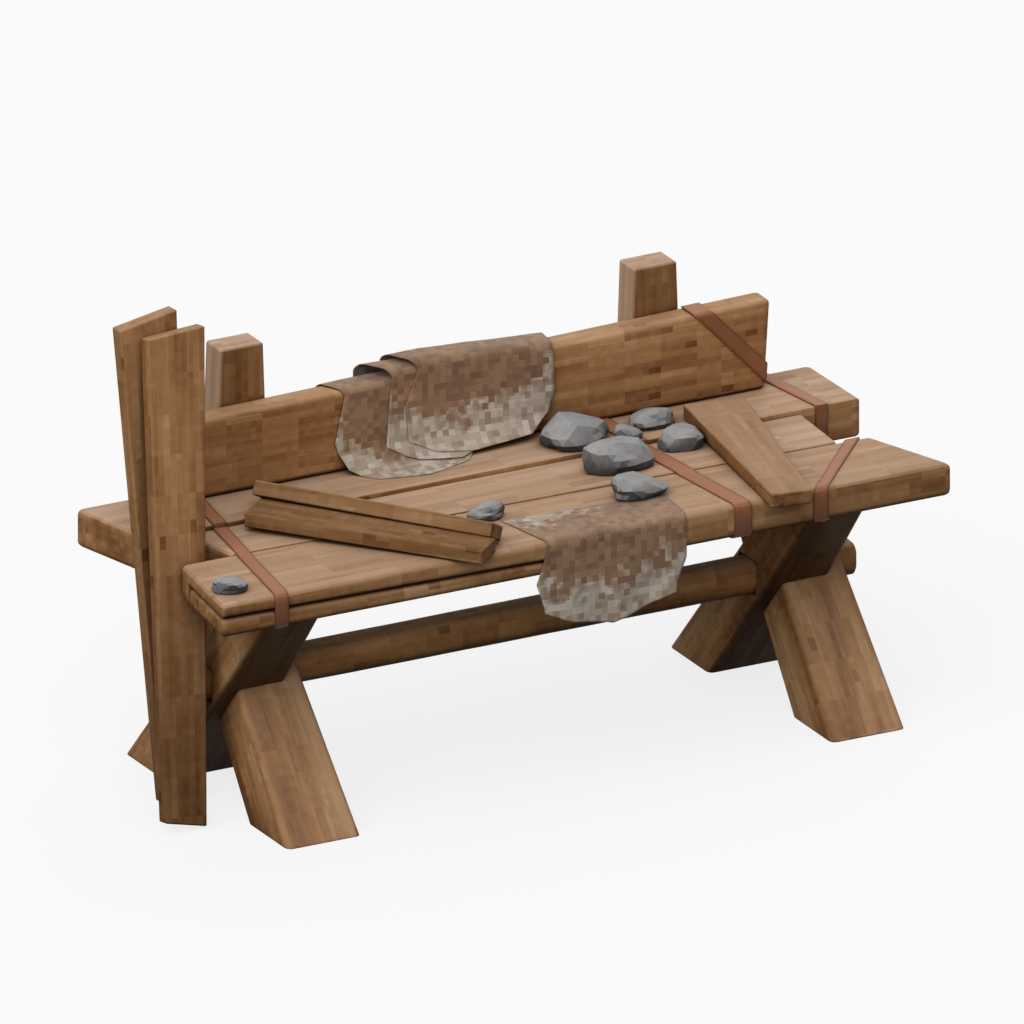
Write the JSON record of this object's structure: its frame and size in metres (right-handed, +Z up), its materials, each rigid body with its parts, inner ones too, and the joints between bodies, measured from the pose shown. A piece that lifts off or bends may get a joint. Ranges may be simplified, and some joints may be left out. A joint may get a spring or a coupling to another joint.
{
  "type": "trestle workbench",
  "caption": "Rustic timber workbench on crossed-leg trestles with a plank top, a backboard on posts, leather straps, leaning boards, stones and draped hides.",
  "frame": {"origin": "middle of the whole part's footprint, on the floor", "axes": "+X along the bench to the right as seen from the front, +Y from the front edge to the backboard, +Z up"},
  "size_m": [2.2038, 0.8983, 1.3426],
  "materials": {
    "pale_wood": "worn, unfinished",
    "brown_wood": "weathered, unfinished",
    "dark_wood": "unfinished",
    "strap_leather": "plain tanned",
    "nail_iron": "dark forged",
    "grey_stone": "rough",
    "hide": "mottled, hair on"
  },
  "bodies": {
    "bench": {"front_plank": "pale_wood", "middle_plank": "pale_wood", "rear_plank": "pale_wood", "left_bearer": "dark_wood", "right_bearer": "dark_wood", "left_stretcher_peg": "dark_wood", "right_stretcher_peg": "dark_wood", "left_front_bearer_peg": "dark_wood", "left_middle_bearer_peg": "dark_wood", "left_rear_bearer_peg": "dark_wood", "right_front_bearer_peg": "dark_wood", "right_middle_bearer_peg": "dark_wood", "right_rear_bearer_peg": "dark_wood", "left_lower_post_peg": "dark_wood", "left_upper_post_peg": "dark_wood", "right_lower_post_peg": "dark_wood", "right_upper_post_peg": "dark_wood", "left_front_leg": "brown_wood", "left_rear_leg": "brown_wood", "right_front_leg": "brown_wood", "right_rear_leg": "brown_wood", "stretcher": "brown_wood", "packing_board": "brown_wood", "backboard": "brown_wood", "left_post": "brown_wood", "right_post": "brown_wood", "left_top_strap": "strap_leather", "right_top_strap": "strap_leather", "front_corner_strap": "strap_leather", "rear_corner_strap": "strap_leather", "backboard_strap": "strap_leather", "left_top_strap_front_nail": "nail_iron", "left_top_strap_rear_nail": "nail_iron", "front_corner_strap_front_nail": "nail_iron", "front_corner_strap_rear_nail": "nail_iron", "left_back_hide": "hide", "middle_back_hide": "hide", "right_back_hide": "hide", "front_hide": "hide"},
    "stone_01_body": {"stone_01": "grey_stone"},
    "stone_02_body": {"stone_02": "grey_stone"},
    "stone_03_body": {"stone_03": "grey_stone"},
    "stone_04_body": {"stone_04": "grey_stone"},
    "stone_05_body": {"stone_05": "grey_stone"},
    "stone_06_body": {"stone_06": "grey_stone"},
    "stone_07_body": {"stone_07": "grey_stone"},
    "stone_08_body": {"stone_08": "grey_stone"},
    "right_loose_board_body": {"right_loose_board": "brown_wood"},
    "lower_loose_board_body": {"lower_loose_board": "brown_wood"},
    "upper_loose_board_body": {"upper_loose_board": "brown_wood"},
    "rear_leaning_board_body": {"rear_leaning_board": "brown_wood"},
    "front_leaning_board_body": {"front_leaning_board": "brown_wood"}
  },
  "joints": [
    {"name": "stone_01_lift", "type": "slide", "parent": "bench", "child": "stone_01_body", "axis": [0, 0, 1], "range_m": [0, 0.3]},
    {"name": "stone_02_lift", "type": "slide", "parent": "bench", "child": "stone_02_body", "axis": [0, 0, 1], "range_m": [0, 0.3]},
    {"name": "stone_03_lift", "type": "slide", "parent": "bench", "child": "stone_03_body", "axis": [0, 0, 1], "range_m": [0, 0.3]},
    {"name": "stone_04_lift", "type": "slide", "parent": "bench", "child": "stone_04_body", "axis": [0, 0, 1], "range_m": [0, 0.3]},
    {"name": "stone_05_lift", "type": "slide", "parent": "bench", "child": "stone_05_body", "axis": [0, 0, 1], "range_m": [0, 0.3]},
    {"name": "stone_06_lift", "type": "slide", "parent": "bench", "child": "stone_06_body", "axis": [0, 0, 1], "range_m": [0, 0.3]},
    {"name": "stone_07_lift", "type": "slide", "parent": "bench", "child": "stone_07_body", "axis": [0, 0, 1], "range_m": [0, 0.3]},
    {"name": "stone_08_lift", "type": "slide", "parent": "bench", "child": "stone_08_body", "axis": [0, 0, 1], "range_m": [0, 0.3]},
    {"name": "right_loose_board_lift", "type": "slide", "parent": "bench", "child": "right_loose_board_body", "axis": [0, 0, 1], "range_m": [0, 0.3]},
    {"name": "lower_loose_board_lift", "type": "slide", "parent": "bench", "child": "lower_loose_board_body", "axis": [0, 0, 1], "range_m": [0, 0.3]},
    {"name": "upper_loose_board_lift", "type": "slide", "parent": "lower_loose_board_body", "child": "upper_loose_board_body", "axis": [0, 0, 1], "range_m": [0, 0.3]},
    {"name": "rear_leaning_board_draw_out", "type": "slide", "parent": "bench", "child": "rear_leaning_board_body", "axis": [-1, 0, 0], "range_m": [0, 0.3]},
    {"name": "front_leaning_board_draw_out", "type": "slide", "parent": "bench", "child": "front_leaning_board_body", "axis": [-1, 0, 0], "range_m": [0, 0.3]}
  ]
}
